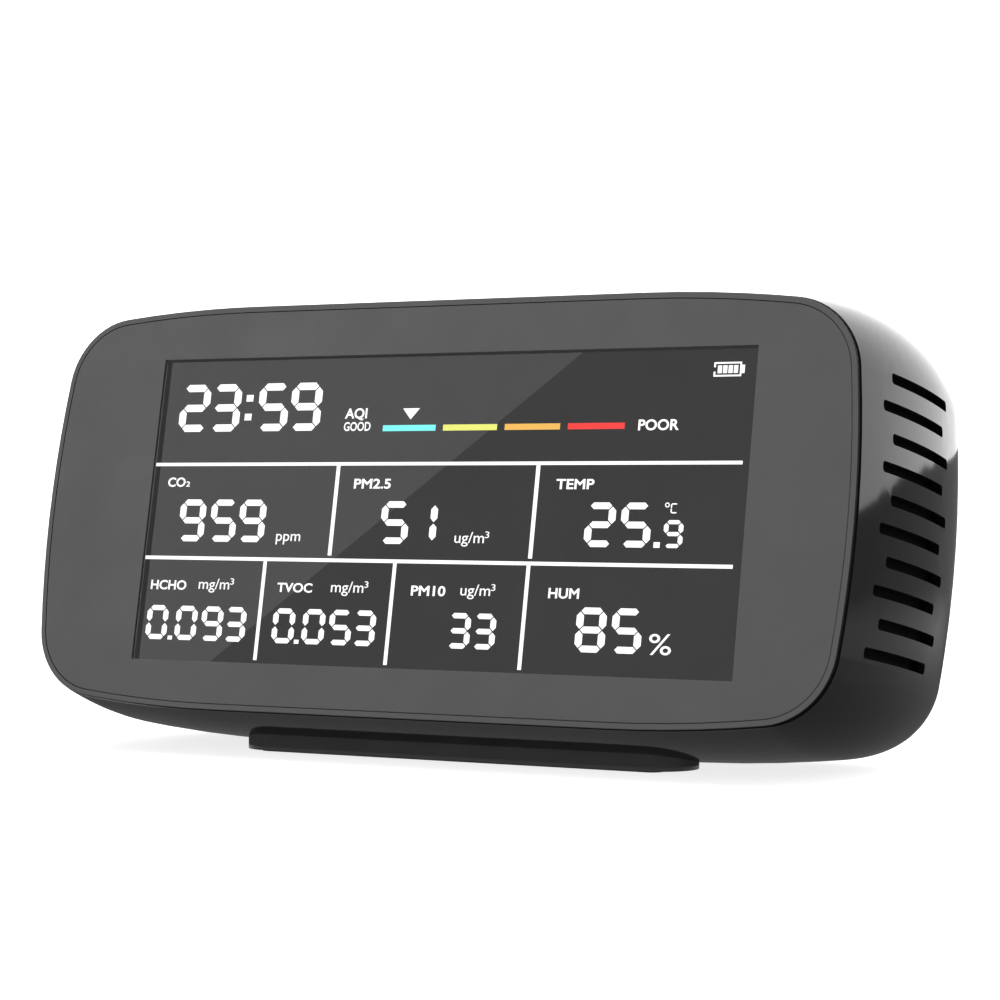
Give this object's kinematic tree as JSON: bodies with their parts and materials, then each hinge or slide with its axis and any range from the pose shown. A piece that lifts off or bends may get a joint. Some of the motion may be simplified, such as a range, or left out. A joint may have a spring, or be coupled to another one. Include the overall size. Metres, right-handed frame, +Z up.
{
  "type": "air quality monitor",
  "caption": "Desktop air quality monitor with a wide barrel-shaped casing, a tilted flat display window, staggered end vents, a bar foot, rear push buttons and a USB-C inlet.",
  "frame": {"origin": "on the table, under the middle of the whole device's bounding box", "axes": "+Z up, +X to the right seen from the front, the display window faces -Y and leans back"},
  "size_m": [0.1766, 0.071, 0.0866],
  "materials": {
    "window_acrylic": "smooth tinted acrylic, printed grey border on the back",
    "frame_plastic": "moulded, satin",
    "casing_plastic": "moulded, polished",
    "foot_plastic": "moulded, fine grain",
    "button_plastic": "moulded, satin",
    "rubber": "matt",
    "filter_mesh": "open black mesh",
    "tape": "foam tape",
    "foam": "closed-cell foam",
    "display_glass": "dark segment display",
    "white_plastic": "moulded white",
    "holder_steel": "sheet",
    "flat_cable": "polyimide film",
    "circuit_board": "solder mask",
    "board_parts": "moulded components",
    "screw_steel": "black zinc",
    "gold_metal": "gold flashed",
    "sensor_plastic": "moulded",
    "sensor_steel": "pressed sheet",
    "cell_sleeve": "shrink sleeve",
    "wire": "insulation",
    "switch_core": "moulded"
  },
  "bodies": {
    "root": {"lens_panel": "window_acrylic", "front_frame": "frame_plastic", "casing": "casing_plastic", "foot": "foot_plastic", "foot_strip": "rubber", "rear_pads": "rubber", "vent_filter_left": "filter_mesh", "vent_filter_right": "filter_mesh", "lens_tape": "tape", "display_gasket": "foam", "sensor_foam": "foam", "display_glass": "display_glass", "display_backlight": "white_plastic", "climate_sensor": "white_plastic", "co2_sensor_membrane": "white_plastic", "display_holder": "holder_steel", "display_cable": "flat_cable", "board_link_cable": "flat_cable", "main_board": "circuit_board", "power_board": "circuit_board", "main_board_parts": "board_parts", "power_board_parts": "board_parts", "buzzer": "board_parts", "main_board_screws": "screw_steel", "power_board_screws": "screw_steel", "casing_screws": "screw_steel", "foot_screws": "screw_steel", "co2_sensor": "gold_metal", "formaldehyde_sensor": "sensor_plastic", "particle_sensor_case": "sensor_plastic", "battery_cradle": "sensor_plastic", "button_switches": "sensor_plastic", "tvoc_sensor": "sensor_steel", "particle_sensor_cover": "sensor_steel", "usb_c_port": "sensor_steel", "battery_contacts": "sensor_steel", "battery_cell": "cell_sleeve", "battery_lead": "wire"},
    "power": {"power_button": "button_plastic", "power_plunger": "switch_core"},
    "menu": {"menu_button": "button_plastic", "menu_plunger": "switch_core"},
    "up": {"up_button": "button_plastic", "up_plunger": "switch_core"},
    "down": {"down_button": "button_plastic", "down_plunger": "switch_core"},
    "fan": {"particle_sensor_fan": "sensor_plastic"}
  },
  "joints": [
    {"name": "power_press", "type": "slide", "parent": "root", "child": "power", "axis": [0, -0.9828, 0.1848], "range_m": [0, 0.0006], "stiffness_N_per_m": 900},
    {"name": "menu_press", "type": "slide", "parent": "root", "child": "menu", "axis": [0, -0.9828, 0.1848], "range_m": [0, 0.0006], "stiffness_N_per_m": 900},
    {"name": "up_press", "type": "slide", "parent": "root", "child": "up", "axis": [0, -0.9828, 0.1848], "range_m": [0, 0.0006], "stiffness_N_per_m": 900},
    {"name": "down_press", "type": "slide", "parent": "root", "child": "down", "axis": [0, -0.9828, 0.1848], "range_m": [0, 0.0006], "stiffness_N_per_m": 900},
    {"name": "fan_spin", "type": "hinge", "parent": "root", "child": "fan", "pos_m": [0.061, -0.00379, 0.04308], "axis": [0, 0.9828, -0.1848], "continuous": true}
  ]
}
